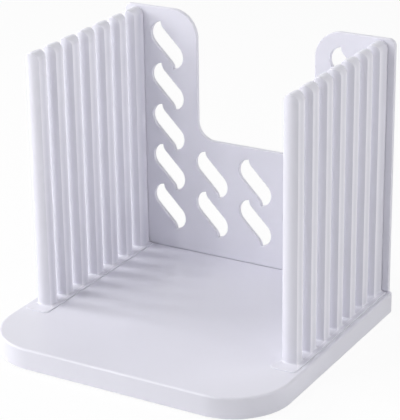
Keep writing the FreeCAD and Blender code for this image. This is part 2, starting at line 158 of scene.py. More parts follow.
# %% A new material, and a factor for rays that look
def new_material(name):
    """An empty node material with only its output."""
    material = bpy.data.materials.new(name)
    material.use_nodes = True
    material.node_tree.nodes.clear()
    output = material.node_tree.nodes.new("ShaderNodeOutputMaterial")
    return material, material.node_tree, output


def when_seen(tree, share):
    """A factor that is a share for rays that look, and 0 for light on its way."""
    path = node(tree, "ShaderNodeLightPath")
    looking = path.outputs["Is Camera Ray"]
    for kind in ("Is Glossy Ray", "Is Transmission Ray"):
        larger = node(tree, "ShaderNodeMath", operation="MAXIMUM")
        link(tree, looking, larger.inputs[0])
        link(tree, path.outputs[kind], larger.inputs[1])
        looking = larger.outputs[0]
    factor = node(tree, "ShaderNodeMath", operation="MULTIPLY")
    link(tree, looking, factor.inputs[0])
    factor.inputs[1].default_value = share
    return factor.outputs[0]


# %% Floor
FLOOR_WHITE_SHARE, FLOOR_SIDE = 0.93, 6.0
floor_material, tree, output = new_material("floor_paper")
paint = node(tree, "ShaderNodeBsdfDiffuse", Color=(0.92, 0.92, 0.93, 1.0))
glow = node(tree, "ShaderNodeEmission", Color=(1.0, 1.0, 1.0, 1.0), Strength=1.0)
blend = node(tree, "ShaderNodeMixShader")
link(tree, when_seen(tree, FLOOR_WHITE_SHARE), blend.inputs[0])
link(tree, paint.outputs[0], blend.inputs[1])
link(tree, glow.outputs[0], blend.inputs[2])
link(tree, blend.outputs[0], output.inputs["Surface"])

bpy.ops.mesh.primitive_plane_add(size=FLOOR_SIDE)
floor = bpy.context.object
floor.name = "floor"
floor.data.materials.append(floor_material)
print("the floor is", FLOOR_SIDE, "m square and", FLOOR_WHITE_SHARE, "of it is seen as white")

# %% Studio walls: bright low down, dark overhead, plain white where they are seen
world = bpy.data.worlds.new("studio")
world.use_nodes = True
bpy.context.scene.world = world
tree = world.node_tree
tree.nodes.clear()
WALL_LEVEL, CEILING_LEVEL = 0.74, 0.0
WALL_TOP, CEILING_START = 0.30, 0.60
way_out = node(tree, "ShaderNodeTexCoord")
upward = node(tree, "ShaderNodeSeparateXYZ")
link(tree, way_out.outputs["Generated"], upward.inputs[0])
level = node(tree, "ShaderNodeMapRange", interpolation_type="SMOOTHSTEP", From_Min=WALL_TOP,
             From_Max=CEILING_START, To_Min=WALL_LEVEL, To_Max=CEILING_LEVEL)
link(tree, upward.outputs["Z"], level.inputs["Value"])
soft = node(tree, "ShaderNodeBackground", Color=(1.0, 1.0, 1.0, 1.0))
link(tree, level.outputs["Result"], soft.inputs["Strength"])
white = node(tree, "ShaderNodeBackground", Color=(1.0, 1.0, 1.0, 1.0), Strength=1.0)
choose = node(tree, "ShaderNodeMixShader")
output = node(tree, "ShaderNodeOutputWorld")
link(tree, when_seen(tree, 1.0), choose.inputs[0])
link(tree, soft.outputs[0], choose.inputs[1])
link(tree, white.outputs[0], choose.inputs[2])
link(tree, choose.outputs[0], output.inputs["Surface"])
print("the walls give", WALL_LEVEL, "and the ceiling gives", CEILING_LEVEL)

# %% Lamps
LAMP_SIZE, LAMP_DISTANCE, AIM_HEIGHT = 0.45, 1.3, 60 * MM


def soft_box(name, azimuth, elevation, power):
    """A square area lamp that faces the middle of the object from a given side."""
    data = bpy.data.lights.new(name, "AREA")
    data.shape = "RECTANGLE"
    data.size = data.size_y = LAMP_SIZE
    data.energy = power
    lamp = bpy.data.objects.new(name, data)
    bpy.context.collection.objects.link(lamp)
    way = direction(math.radians(azimuth), math.radians(elevation))
    lamp.matrix_world = (Matrix.Translation(Vector((0.0, 0.0, AIM_HEIGHT)) + way * LAMP_DISTANCE)
                         @ way.to_track_quat("Z", "Y").to_matrix().to_4x4())
    print(name, "gives", power, "W")


soft_box("left_key", -75, 25, 9.6)
soft_box("left_top", -45, 60, 4.2)
soft_box("front_fill", -30, 25, 2.8)
soft_box("right_top", 90, 60, 2.9)
soft_box("right_back", 120, 25, 2.8)

# %% [markdown]
# ## The plastic
#
# Moulded plastic is never quite even. Its skin has a faint orange-peel texture, broad shallow
# waves where the melt cooled, and a gloss that drifts a little. Along the upright edges of the
# posts the colour is also painted paler. This is a painted highlight, which stands in for the light
# that these rounded edges catch and that thin white plastic lets through. Full subsurface
# scattering would show part of that, but it is slow and doesn't survive an export, so an attribute
# of the mesh marks where the highlight is painted. All four go into one shader group, so that every
# plastic material can use them at its own strength. The shader itself stays outside the group.

# %% Shader group: its sockets
def add_socket(tree, name, way, kind, default=None):
    """Adds a named input or output to a node group."""
    socket = tree.interface.new_socket(name=name, in_out=way, socket_type=kind)
    if default is not None:
        socket.default_value = default
    return socket


# The tint of the painted highlight on the upright edges of the posts.
HIGHLIGHT_COLOUR = (0.945, 0.935, 1.0, 1.0)
skin = bpy.data.node_groups.new("moulded_skin", "ShaderNodeTree")
add_socket(skin, "Colour", "INPUT", "NodeSocketColor", (0.8, 0.8, 0.85, 1.0))
add_socket(skin, "Gloss Drift", "INPUT", "NodeSocketFloat", 0.06)
add_socket(skin, "Roughness", "INPUT", "NodeSocketFloat", 0.25)
add_socket(skin, "Peel Height", "INPUT", "NodeSocketFloat", 0.15)
add_socket(skin, "Painted Highlight", "INPUT", "NodeSocketFloat", 0.0)
add_socket(skin, "Colour", "OUTPUT", "NodeSocketColor")
add_socket(skin, "Roughness", "OUTPUT", "NodeSocketFloat")
add_socket(skin, "Height", "OUTPUT", "NodeSocketFloat")

group_in = node(skin, "NodeGroupInput")
group_out = node(skin, "NodeGroupOutput")
print("the skin group has", len(skin.interface.items_tree), "sockets")

# %% Shader group: three noises, and a painted highlight that makes the colour paler at edges
place = node(skin, "ShaderNodeTexCoord")
waves = node(skin, "ShaderNodeTexNoise", Scale=14.0, Detail=2.0)
peel = node(skin, "ShaderNodeTexNoise", Scale=900.0, Detail=1.0)
drift = node(skin, "ShaderNodeTexNoise", Scale=35.0, Detail=4.0)
for texture in (waves, peel, drift):
    link(skin, place.outputs["Object"], texture.inputs["Vector"])
print("noise scales:", [texture.inputs["Scale"].default_value for texture in (waves, peel, drift)])

shade = node(skin, "ShaderNodeMapRange", From_Min=0.3, From_Max=0.7, To_Min=0.975, To_Max=1.0)
link(skin, waves.outputs["Fac"], shade.inputs["Value"])
tint = node(skin, "ShaderNodeVectorMath", operation="SCALE")
link(skin, group_in.outputs["Colour"], tint.inputs[0])
link(skin, shade.outputs["Result"], tint.inputs["Scale"])

# Painted highlight: where the mesh attribute marks an edge, the colour is mixed towards a paler
# tint.
highlight_mask = node(skin, "ShaderNodeAttribute", attribute_name="painted_edge_highlight")
highlight_strength = node(skin, "ShaderNodeMath", operation="MULTIPLY")
link(skin, highlight_mask.outputs["Fac"], highlight_strength.inputs[0])
link(skin, group_in.outputs["Painted Highlight"], highlight_strength.inputs[1])
pale = node(skin, "ShaderNodeMixRGB")
pale.inputs["Color2"].default_value = HIGHLIGHT_COLOUR
link(skin, highlight_strength.outputs[0], pale.inputs["Fac"])
link(skin, tint.outputs[0], pale.inputs["Color1"])
link(skin, pale.outputs[0], group_out.inputs["Colour"])

# %% Shader group: gloss that drifts, and the height of the skin
centred = node(skin, "ShaderNodeMath", operation="SUBTRACT")
link(skin, drift.outputs["Fac"], centred.inputs[0])
centred.inputs[1].default_value = 0.5
rough = node(skin, "ShaderNodeMath", operation="MULTIPLY_ADD")
link(skin, centred.outputs[0], rough.inputs[0])
link(skin, group_in.outputs["Gloss Drift"], rough.inputs[1])
link(skin, group_in.outputs["Roughness"], rough.inputs[2])
link(skin, rough.outputs[0], group_out.inputs["Roughness"])

bumps = node(skin, "ShaderNodeMath", operation="MULTIPLY_ADD")
link(skin, peel.outputs["Fac"], bumps.inputs[0])
link(skin, group_in.outputs["Peel Height"], bumps.inputs[1])
link(skin, waves.outputs["Fac"], bumps.inputs[2])
link(skin, bumps.outputs[0], group_out.inputs["Height"])
print("the skin group has", len(skin.nodes), "nodes")


# %% Plastic and rubber
PLASTIC_IOR = 1.49


def moulded_material(name, colour, roughness, drift_share, peel_height, bump_mm, highlight_strength):
    """A plastic or rubber material that wears the moulded skin."""
    material, tree, output = new_material(name)
    wear = node(tree, "ShaderNodeGroup", node_tree=skin)
    wear.inputs["Colour"].default_value = (*colour, 1.0)
    wear.inputs["Roughness"].default_value = roughness
    wear.inputs["Gloss Drift"].default_value = drift_share
    wear.inputs["Peel Height"].default_value = peel_height
    # The share of painted highlight where the mesh marks the edges.
    wear.inputs["Painted Highlight"].default_value = highlight_strength
    shader = node(tree, "ShaderNodeBsdfPrincipled")
    shader.inputs["IOR"].default_value = PLASTIC_IOR
    bump = node(tree, "ShaderNodeBump", Strength=1.0, Distance=bump_mm * MM)
    link(tree, wear.outputs["Colour"], shader.inputs["Base Color"])
    link(tree, wear.outputs["Roughness"], shader.inputs["Roughness"])
    link(tree, wear.outputs["Height"], bump.inputs["Height"])
    link(tree, bump.outputs[0], shader.inputs["Normal"])
    link(tree, shader.outputs[0], output.inputs["Surface"])
    return material


# The plastic gets a strong painted highlight on the edges of the posts, the rubber none.
plastic = moulded_material("white_plastic", (0.79, 0.785, 0.86), roughness=0.34,
                           drift_share=0.08, peel_height=0.004, bump_mm=0.6, highlight_strength=0.9)
rubber = moulded_material("grey_rubber", (0.30, 0.30, 0.32), roughness=0.75,
                          drift_share=0.10, peel_height=0.3, bump_mm=0.05, highlight_strength=0.0)
print("materials:", plastic.name, "and", rubber.name)

# %% [markdown]
# ## Flat outlines
#
# Almost every part of this object is a flat outline given a thickness, with its corners rounded
# in the plan and its edges rounded in the section. Two small functions cover both: one puts an
# arc in place of each corner, the other moves an outline outwards or inwards by an even amount.

# %% Outlines
def rounded(corners, step):
    """A closed outline through corners (x, y, radius), each an arc in steps of some degrees."""
    points = []
    for index, (x, y, radius) in enumerate(corners):
        here = Vector((x, y))
        if radius == 0:
            points.append(here)
            continue
        before = (Vector(corners[index - 1][:2]) - here).normalized()
        after = (Vector(corners[(index + 1) % len(corners)][:2]) - here).normalized()
        half = before.angle(after) / 2
        centre = here + (before + after).normalized() * radius / math.sin(half)
        spoke = here + before * radius / math.tan(half) - centre
        sweep = math.pi - 2 * half
        if before.cross(after) > 0:
            sweep = -sweep
        pieces = max(3, round(math.degrees(abs(sweep)) / step))
        for piece in range(pieces + 1):
            points.append(centre + Matrix.Rotation(sweep * piece / pieces, 2) @ spoke)
    return points


def moved_out(points, distance):
    """The outline with every side moved outwards. It runs counter-clockwise."""
    result = []
    for index, here in enumerate(points):
        normals = []
        for start, end in ((points[index - 1], here),
                           (here, points[(index + 1) % len(points)])):
            side = (end - start).normalized()
            normals.append(Vector((side.y, -side.x)))
        both = (normals[0] + normals[1]) / (1 + normals[0].dot(normals[1]))
        result.append(here + both * distance)
    return result


# %% A circle and a rectangle
def circle(x, y, radius, pieces):
    """A round outline."""
    turns = [2 * math.pi * piece / pieces for piece in range(pieces)]
    return [Vector((x + radius * math.cos(a), y + radius * math.sin(a))) for a in turns]


def rectangle(x0, x1, y0, y1, radius):
    """An upright rectangle with rounded corners."""
    return rounded([(x0, y0, radius), (x1, y0, radius), (x1, y1, radius), (x0, y1, radius)],
                   step=15)


print("a rounded rectangle has", len(rectangle(0, 20, 0, 10, 1)), "points")


# %% [markdown]
# ## From outlines to solids
#
# A solid is a stack of rings, each an outline at a height. Neighbouring rings are joined by a
# band of faces, and a flat face with any number of holes closes what is left. Rounding an edge
# is then only a matter of a few more rings on a quarter circle. This takes more code than a
# Bevel modifier, but a bevel has trouble with faces that have many holes, and this has none.

# %% Rings, bands and caps
def ring(mesh, points, height):
    """Vertices of an outline at a height, in millimetres."""
    return [mesh.verts.new((point.x, point.y, height)) for point in points]


def band(mesh, lower, upper):
    """Faces between two rings of the same number of points."""
    for index in range(len(lower)):
        mesh.faces.new((lower[index - 1], lower[index], upper[index], upper[index - 1]))


def cap(mesh, *rings):
    """A flat face inside the first ring and outside the others."""
    edges = []
    for points in rings:
        for index in range(len(points)):
            edge = mesh.edges.get((points[index - 1], points[index]))
            edges.append(edge or mesh.edges.new((points[index - 1], points[index])))
    bmesh.ops.triangle_fill(mesh, edges=edges, use_beauty=True)


# %% Rounded edges and blind holes
def rounded_edge(mesh, start, points, height, radius, up, grow=False, steps=5):
    """Rings that carry a wall round a quarter circle to a flat face. Returns the last ring."""
    last = start
    for step in range(1, steps + 1):
        turn = math.pi / 2 * step / steps
        inset = radius * (1 - math.cos(turn)) * (1 if grow else -1)
        rise = radius * math.sin(turn) * (1 if up else -1)
        following = ring(mesh, moved_out(points, inset), height + rise)
        band(mesh, last, following)
        last = following
    return last


def well(mesh, points, top, depth, edge, up=True):
    """A blind hole down from a face at a height, or up into it. Returns the ring at its mouth."""
    way = 1 if up else -1
    floor_ring = ring(mesh, points, top - way * depth)
    cap(mesh, floor_ring)
    wall = ring(mesh, points, top - way * edge)
    band(mesh, floor_ring, wall)
    return rounded_edge(mesh, wall, points, top - way * edge, edge, up, grow=True, steps=3)


# %% [markdown]
# ## From a mesh to a finished piece
# A finished piece is welded, has its faces turned outwards and is brought to metres. Weighted
# normals keep its flats flat beside the rounded edges. Its object stays at the origin and its
# place is in its mesh: an export puts every object at the origin, and a texture on object
# coordinates would slide along a piece that was placed in any other way. Last, it gets the body
# that carries it and the finish it takes, and the part of the frame that it stands for is
# hidden.

# %% Finish a piece
WELD = 0.0005


def bake(mesh, name, material, body, replaced=None, place=None):
    """Turns a mesh in millimetres into a finished piece in metres."""
    bmesh.ops.remove_doubles(mesh, verts=mesh.verts, dist=WELD)
    bmesh.ops.dissolve_degenerate(mesh, edges=mesh.edges, dist=WELD)
    bmesh.ops.recalc_face_normals(mesh, faces=mesh.faces)
    data = bpy.data.meshes.new(name)
    mesh.to_mesh(data)
    mesh.free()
    if place is not None:
        data.transform(place)
    data.transform(Matrix.Scale(MM, 4))
    piece = bpy.data.objects.new(name, data)
    bpy.context.collection.objects.link(piece)
    return finish_piece(piece, material, body, replaced)


def finish_piece(piece, material, body, replaced=None):
    """Smooth shading that leaves flats flat, the material, and the body that carries it."""
    piece.data.shade_smooth()
    even = piece.modifiers.new("even_shading", "WEIGHTED_NORMAL")
    even.weight = 100
    depsgraph = bpy.context.evaluated_depsgraph_get()
    final = bpy.data.meshes.new_from_object(piece.evaluated_get(depsgraph))
    piece.modifiers.clear()
    piece.data = final
    final.materials.clear()
    final.materials.append(material)
    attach(piece, body)
    if replaced:
        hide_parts(replaced)
    print(piece.name, "has", sum(len(face.vertices) - 2 for face in final.polygons), "triangles")
    return piece


# %% [markdown]
# ## The board
#
# The board looks like a slab, but it is a shallow tray upside down, because a thick slab of
# plastic would sink and warp as it cools. Its top has blind holes for the pegs of the combs and
# slots for the tabs of the panel. They show when a part is lifted out. A boolean could cut them,
# but it would leave their edges sharp, so the outside, the holes and the hollow are one mesh.

# %% Sizes of the board
BOARD_FRONT_CORNER, BOARD_REAR_CORNER, BOARD_EDGE = 33.0, 4.0, 1.3
SKIRT, RAIL, TOP_WALL = 3.0, 8.0, 2.5
BOARD_LOWER_EDGE = 0.4
SOCKET_DEPTH, SOCKET_PLAY, SOCKET_MOUTH = 8.8, 0.05, 0.4
TAB_WIDTH, TAB_PITCH, TABS, TAB_LENGTH, TAB_INSET, TAB_PLAY = 20.0, 60.0, 3, 8.0, 0.3, 0.15
SLOT_SPARE, SLOT_CORNER, SLOT_MOUTH = 0.8, 0.3, 0.12
ROUND_SIDES = 32
PEG_YS = [FIRST_POST + (POST_DEPTH + POST_PITCH) / 2 + PEG_PITCH * k for k in range(PEGS)]
TAB_XS = [TAB_PITCH * (k - (TABS - 1) / 2) for k in range(TABS)]
PANEL_THICKNESS = panel_high.y - panel_low.y
print("pegs at Y", [round(y, 2) for y in PEG_YS], "and tabs at X", TAB_XS)

# %% The board's outlines
outside = rounded([(-BOARD_HALF_WIDTH, BOARD_FRONT, BOARD_FRONT_CORNER),
                   (BOARD_HALF_WIDTH, BOARD_FRONT, BOARD_FRONT_CORNER),
                   (BOARD_HALF_WIDTH, BOARD_REAR, BOARD_REAR_CORNER),
                   (-BOARD_HALF_WIDTH, BOARD_REAR, BOARD_REAR_CORNER)], step=3)
inner_corner = BOARD_FRONT_CORNER - SKIRT
hollow = rounded([(-BOARD_HALF_WIDTH + SKIRT, BOARD_FRONT + SKIRT, inner_corner),
                  (BOARD_HALF_WIDTH - SKIRT, BOARD_FRONT + SKIRT, inner_corner),
                  (BOARD_HALF_WIDTH - SKIRT, BOARD_REAR - RAIL, BOARD_EDGE),
                  (-BOARD_HALF_WIDTH + SKIRT, BOARD_REAR - RAIL, BOARD_EDGE)], step=6)
print("the outside has", len(outside), "points and the hollow has", len(hollow))

# %% The board's outer wall and rounded edges
board = bmesh.new()
low_wall = ring(board, outside, board_low.z + BOARD_LOWER_EDGE)
high_wall = ring(board, outside, BOARD_TOP - BOARD_EDGE)
band(board, low_wall, high_wall)
rim = rounded_edge(board, high_wall, outside, BOARD_TOP - BOARD_EDGE, BOARD_EDGE, up=True,
                   steps=6)
foot_rim = rounded_edge(board, low_wall, outside, board_low.z + BOARD_LOWER_EDGE,
                        BOARD_LOWER_EDGE, up=False, steps=2)
print("the outer wall has", len(board.faces), "faces")

# %% Sockets, slots and the hollow underneath
mouths = []
for sign in (-1, 1):
    for y in PEG_YS:
        socket = circle(sign * COMB_CENTRE, y, PEG_RADIUS + SOCKET_PLAY, ROUND_SIDES)
        mouths.append(well(board, socket, BOARD_TOP, SOCKET_DEPTH, SOCKET_MOUTH))
for x in TAB_XS:
    half = TAB_WIDTH / 2 + TAB_PLAY
    slot = rectangle(x - half, x + half, panel_low.y + TAB_INSET - TAB_PLAY,
                     panel_high.y - TAB_INSET + TAB_PLAY, SLOT_CORNER)
    mouths.append(well(board, slot, BOARD_TOP, TAB_LENGTH + SLOT_SPARE, SLOT_MOUTH))
cap(board, rim, *mouths)
inner_low = ring(board, hollow, board_low.z)
inner_high = ring(board, hollow, BOARD_TOP - TOP_WALL)
band(board, inner_low, inner_high)
cap(board, foot_rim, inner_low)
cap(board, inner_high)
bake(board, "board_tray", plastic, "board", "base")

# %% [markdown]
# ## Under the board
#
# Ribs both ways keep the thin top flat. They follow a rule, so a Geometry Nodes tree makes
# them: a box is set out along a line, a number of times, at a pitch. Where a rib would run into
# a peg hole, a boolean in the same tree takes a round bar out of it. The square bosses that hold
# the pegs and the cups that hold the feet are few and short, so they are drawn from rings.

# %% Geometry Nodes: a new tree, and terms for its nodes
def new_tree(name, numbers):
    """A Geometry Nodes tree with named number inputs and a material input."""
    tree = bpy.data.node_groups.new(name, "GeometryNodeTree")
    tree.is_modifier = True
    add_socket(tree, "Geometry", "INPUT", "NodeSocketGeometry")
    for label, kind, default in numbers:
        add_socket(tree, label, "INPUT", "NodeSocket" + kind, default)
    add_socket(tree, "Material", "INPUT", "NodeSocketMaterial")
    add_socket(tree, "Geometry", "OUTPUT", "NodeSocketGeometry")
    return tree, node(tree, "NodeGroupInput"), node(tree, "NodeGroupOutput")


def with_terms(tree, made, terms):
    """Feeds a node's inputs from sockets or plain numbers, and returns its output."""
    for position, term in enumerate(terms):
        if isinstance(term, (int, float)):
            made.inputs[position].default_value = term
        else:
            link(tree, term, made.inputs[position])
    return made.outputs[0]


def arithmetic(tree, operation, first, second):
    """A Math node between two terms."""
    return with_terms(tree, node(tree, "ShaderNodeMath", operation=operation), (first, second))


def vector_of(tree, x=0.0, y=0.0, z=0.0):
    """A Combine XYZ node from three terms."""
    return with_terms(tree, node(tree, "ShaderNodeCombineXYZ"), (x, y, z))


# %% Geometry Nodes: a row, the end of a tree, and running it
def row_across(tree, count, pitch):
    """Points in a row along X, with the middle of the row at the origin."""
    steps = arithmetic(tree, "SUBTRACT", count, 1.0)
    half = arithmetic(tree, "MULTIPLY", arithmetic(tree, "MULTIPLY", steps, pitch), -0.5)
    line = node(tree, "GeometryNodeMeshLine", mode="OFFSET")
    link(tree, count, line.inputs["Count"])
    link(tree, vector_of(tree, x=half), line.inputs["Start Location"])
    link(tree, vector_of(tree, x=pitch), line.inputs["Offset"])
    return line.outputs["Mesh"]


def finish_tree(tree, group_in, group_out, geometry):
    """Ends a tree in Realize Instances and Set Material."""
    real = node(tree, "GeometryNodeRealizeInstances")
    dressed = node(tree, "GeometryNodeSetMaterial")
    link(tree, geometry, real.inputs[0])
    link(tree, real.outputs[0], dressed.inputs["Geometry"])
    link(tree, group_in.outputs["Material"], dressed.inputs["Material"])
    link(tree, dressed.outputs[0], group_out.inputs[0])


def grow(tree, settings, seed):
    """Runs a tree on a mesh, in millimetres, and gives the result as a mesh to go on with."""
    data = bpy.data.meshes.new(tree.name)
    seed.to_mesh(data)
    seed.free()
    piece = bpy.data.objects.new(tree.name, data)
    bpy.context.collection.objects.link(piece)
    modifier = piece.modifiers.new(tree.name, "NODES")
    modifier.node_group = tree
    for item in tree.interface.items_tree:
        if item.item_type == "SOCKET" and item.in_out == "INPUT" and item.name in settings:
            modifier[item.identifier] = settings[item.name]
    depsgraph = bpy.context.evaluated_depsgraph_get()
    result = bpy.data.meshes.new_from_object(piece.evaluated_get(depsgraph))
    grown = bmesh.new()
    grown.from_mesh(result)
    bpy.data.objects.remove(piece)
    print(tree.name, "made", len(result.polygons), "faces")
    return grown


# %% A tree that sets out ribs in a row and takes the peg holes out of them
RIB_THICKNESS, RIB_PITCH, RIBS, RIB_SHORTFALL, RIB_ROOT = 1.6, 28.0, 5, 1.5, 1
rib_tree, group_in, group_out = new_tree("ribs_in_a_row", [
    ("Count", "Int", RIBS), ("Pitch", "Float", RIB_PITCH), ("Thickness", "Float", RIB_THICKNESS),
    ("Length", "Float", 150.0), ("Height", "Float", 8.0), ("Turn", "Float", 0.0)])
box = node(rib_tree, "GeometryNodeMeshCube")
link(rib_tree, vector_of(rib_tree, group_in.outputs["Thickness"], group_in.outputs["Length"],
                         group_in.outputs["Height"]), box.inputs["Size"])
stand = node(rib_tree, "GeometryNodeInstanceOnPoints")
link(rib_tree, row_across(rib_tree, group_in.outputs["Count"], group_in.outputs["Pitch"]),
     stand.inputs["Points"])
link(rib_tree, box.outputs["Mesh"], stand.inputs["Instance"])
turned = node(rib_tree, "GeometryNodeTransform")
link(rib_tree, stand.outputs["Instances"], turned.inputs["Geometry"])
link(rib_tree, vector_of(rib_tree, z=group_in.outputs["Turn"]), turned.inputs["Rotation"])
solid_ribs = node(rib_tree, "GeometryNodeRealizeInstances")
link(rib_tree, turned.outputs[0], solid_ribs.inputs[0])
drilled = node(rib_tree, "GeometryNodeMeshBoolean", operation="DIFFERENCE", solver="EXACT")
link(rib_tree, solid_ribs.outputs[0], drilled.inputs["Mesh 1"])
link(rib_tree, group_in.outputs["Geometry"], drilled.inputs["Mesh 2"])
finish_tree(rib_tree, group_in, group_out, drilled.outputs["Mesh"])
print(rib_tree.name, "has", len(rib_tree.nodes), "nodes")

# %% Ribs both ways
BOSS_HALF, BOSS_CORNER = 4.5, 0.6
HOLE_SIDES, HOLE_REACH = 24, 20
rib_low, rib_high = board_low.z + RIB_SHORTFALL, BOARD_TOP - TOP_WALL / 2
rib_front, rib_back = BOARD_FRONT + SKIRT / 2, BOARD_REAR - RAIL + RIB_ROOT
print("the ribs are", round(rib_high - rib_low, 2), "mm high")


def peg_holes(lift):
    """Round bars where the peg holes are, to be taken out of the ribs."""
    bars = bmesh.new()
    for sign in (-1, 1):
        for y in PEG_YS:
            outline = circle(sign * COMB_CENTRE, y, (PEG_RADIUS + BOSS_HALF) / 2, HOLE_SIDES)
            ends = [ring(bars, outline, height) for height in (-HOLE_REACH, HOLE_REACH)]
            band(bars, *ends)
            for end in ends:
                cap(bars, end)
    bmesh.ops.recalc_face_normals(bars, faces=bars.faces)
    bmesh.ops.translate(bars, verts=bars.verts, vec=(0, -lift, 0))
    return bars


for name, count, length, turn, centre in (
        ("long_ribs", RIBS, rib_back - rib_front, 0.0, (rib_front + rib_back) / 2),
        ("cross_ribs", RIBS - 1, 2 * BOARD_HALF_WIDTH - SKIRT, math.pi / 2, 0.0)):
    ribs = grow(rib_tree, {"Count": count, "Pitch": RIB_PITCH, "Thickness": RIB_THICKNESS,
                           "Length": length, "Height": rib_high - rib_low, "Turn": turn,
                           "Material": plastic}, peg_holes(centre))
    bake(ribs, name, plastic, "board",
         place=Matrix.Translation((0, centre, (rib_low + rib_high) / 2)))

# %% Bosses round the peg holes and cups round the feet
FOOT_RADIUS = (foot_high.x - foot_low.x) / 2
FOOT_CENTRE = (foot_low + foot_high) / 2
FOOT_PLAY, CUP_WALL, CUP_MOUTH, SMALL_EDGE = 0.15, 1.6, 0.2, 0.3
FOOT_SIDES = 48
fittings = bmesh.new()
for sign in (-1, 1):
    for y in PEG_YS:
        x = sign * COMB_CENTRE
        outer = rectangle(x - BOSS_HALF, x + BOSS_HALF, y - BOSS_HALF, y + BOSS_HALF,
                          BOSS_CORNER)
        root = ring(fittings, outer, rib_high)
        low = ring(fittings, outer, board_low.z + SMALL_EDGE)
        band(fittings, low, root)
        cap(fittings, root)
        cap(fittings, rounded_edge(fittings, low, outer, board_low.z + SMALL_EDGE, SMALL_EDGE,
                                   up=False, steps=2))
    for fore in (-1, 1):
        x, y = sign * abs(FOOT_CENTRE.x), fore * abs(FOOT_CENTRE.y)
        outer = circle(x, y, FOOT_RADIUS + FOOT_PLAY + CUP_WALL, FOOT_SIDES)
        inner = circle(x, y, FOOT_RADIUS + FOOT_PLAY, FOOT_SIDES)
        root, low = ring(fittings, outer, rib_high), ring(fittings, outer, board_low.z)
        band(fittings, low, root)
        cap(fittings, root)
        mouth = well(fittings, inner, board_low.z, foot_high.z - board_low.z, CUP_MOUTH,
                     up=False)
        cap(fittings, low, mouth)
bake(fittings, "bosses_and_cups", plastic, "board")

# %% [markdown]
# ## The feet
#
# A foot is a plain rubber button. Less than a millimetre of it stands below the board, so only
# its lower edge is rounded, and its side is left upright, where the cup grips it. A bevelled
# cylinder would do as well, but the helpers for rings are there already.

# %% Feet
FOOT_EDGE = 0.8
for name in ("foot_front_left", "foot_front_right", "foot_rear_left", "foot_rear_right"):
    low_corner, high_corner = box_mm(name)
    middle = (low_corner + high_corner) / 2
    button = bmesh.new()
    outline = circle(middle.x, middle.y, FOOT_RADIUS, FOOT_SIDES)
    lower = ring(button, outline, low_corner.z + FOOT_EDGE)
    upper = ring(button, outline, high_corner.z)
    band(button, lower, upper)
    cap(button, upper)
    cap(button, rounded_edge(button, lower, outline, low_corner.z + FOOT_EDGE, FOOT_EDGE,
                             up=False))
    bake(button, name.replace("foot", "rubber_foot"), rubber, "board", name)

# %% [markdown]
# ## The combs
#
# A comb is a row of seven posts on a thin sole, moulded in one piece. A post is about as deep
# as it is wide. Its front and back are bowed, its sides are bowed much less, and seen from the
# front its top is a half-round. The one at the back is flat behind, where it meets the panel.
#
# A bevelled box would be quicker, but its faces would be flat and its top hard to round, so a
# post is drawn as rings that climb it. On the upright part every ring is the same, and over
# the crown each ring leans in until the last one is a line. The bow of the sides fades on the
# way, so that the half-round stays true. At the root the rings flare out, because the real
# moulding has a small fillet there, so that a post can't crack off. The vertices near the four
# upright edges carry the attribute of the painted highlight, which makes the plastic paler there.

# %% Sizes of one post and of its rings
SOLE_BOTTOM = comb_low.z + PEG_LENGTH
SOLE_TOP = SOLE_BOTTOM + SOLE_THICKNESS
POST_TOP = comb_high.z
POST_HALF = POST_WIDTH / 2
ACROSS, CORNER, ALONG, CROWN, ROOT = 12, 4, 6, 24, 5
# How the painted highlight fades onto the sides and ends over the crown.
HIGHLIGHT_FADE, HIGHLIGHT_END = [0.55, 0.2], 6
FITTING_ROUNDS = 12
print("a post is", POST_WIDTH, "by", POST_DEPTH, "mm and ends", round(POST_TOP, 1), "mm up")

# %% [markdown]
# ### The section of a post
#
# Each face is a shallow parabola, and each corner is an arc that leaves one face and meets the
# next one without a kink. Where the arc starts depends on how steep both faces are there, and
# that depends on where it starts, so a few rounds of fitting find the place.

# %% One end of a ring
def side_reach(y, lean, front, rear, bow_rear):
    """How far a bowed side stands out at a place along Y, and the turn of its slope there."""
    bow = SIDE_BOW * math.cos(lean)
    fullest = (front + rear) / 2 if bow_rear else rear
    share = (y - fullest) / (fullest - front)
    return POST_HALF - bow * share ** 2, math.atan(2 * bow * share / (fullest - front))


def face_and_corner(flat, bow, way, lean, sizes):
    """Half of one end of a ring, from the middle out: (distance out, radius of climb, Y)."""
    steepness, side_y = 0.0, flat
    for _ in range(FITTING_ROUNDS):
        out, turned = side_reach(side_y, lean, *sizes)
        turned = max(0.0, way * turned)
        centre_out = out - POST_EDGE * math.cos(turned)
        reach = centre_out + POST_EDGE * math.sin(steepness)
        slope = 2 * bow * reach * math.cos(lean) / POST_HALF ** 2
        steepness = math.atan(slope * math.cos(lean))
        edge_y = flat - way * bow * (reach * math.cos(lean) / POST_HALF) ** 2
        centre_y = edge_y - way * POST_EDGE * math.cos(steepness)
        side_y = centre_y + way * POST_EDGE * math.sin(turned)
    half = []
    for step in range(ACROSS // 2 + 1):
        out = reach * step / (ACROSS // 2)
        half.append((out, reach, flat - way * bow * (out * math.cos(lean) / POST_HALF) ** 2))
    for step in range(1, CORNER + 1):
        turn = steepness + (math.pi / 2 - turned - steepness) * step / CORNER
        out = centre_out + POST_EDGE * math.sin(turn)
        half.append((out, out, centre_y + way * POST_EDGE * math.cos(turn)))
    return half


# %% A whole ring, and the flare at the root
def post_ring(front, rear, bow_rear, lean):
    """A whole ring, counter-clockwise from the middle of the front: (X, Y, rise)."""
    sizes = front, rear, bow_rear
    at_front = face_and_corner(front, POST_BULGE, -1, lean, sizes)
    at_rear = face_and_corner(rear, bow_rear, 1, lean, sizes)
    right = list(at_front)
    for step in range(1, ALONG):
        y = at_front[-1][2] + (at_rear[-1][2] - at_front[-1][2]) * step / ALONG
        out = side_reach(y, lean, *sizes)[0]
        right.append((out, out, y))
    right += at_rear[::-1]
    left = [(-out, height, y) for out, height, y in right[-2:0:-1]]
    return [Vector((out * math.cos(lean), y, height * math.sin(lean)))
            for out, height, y in right + left]


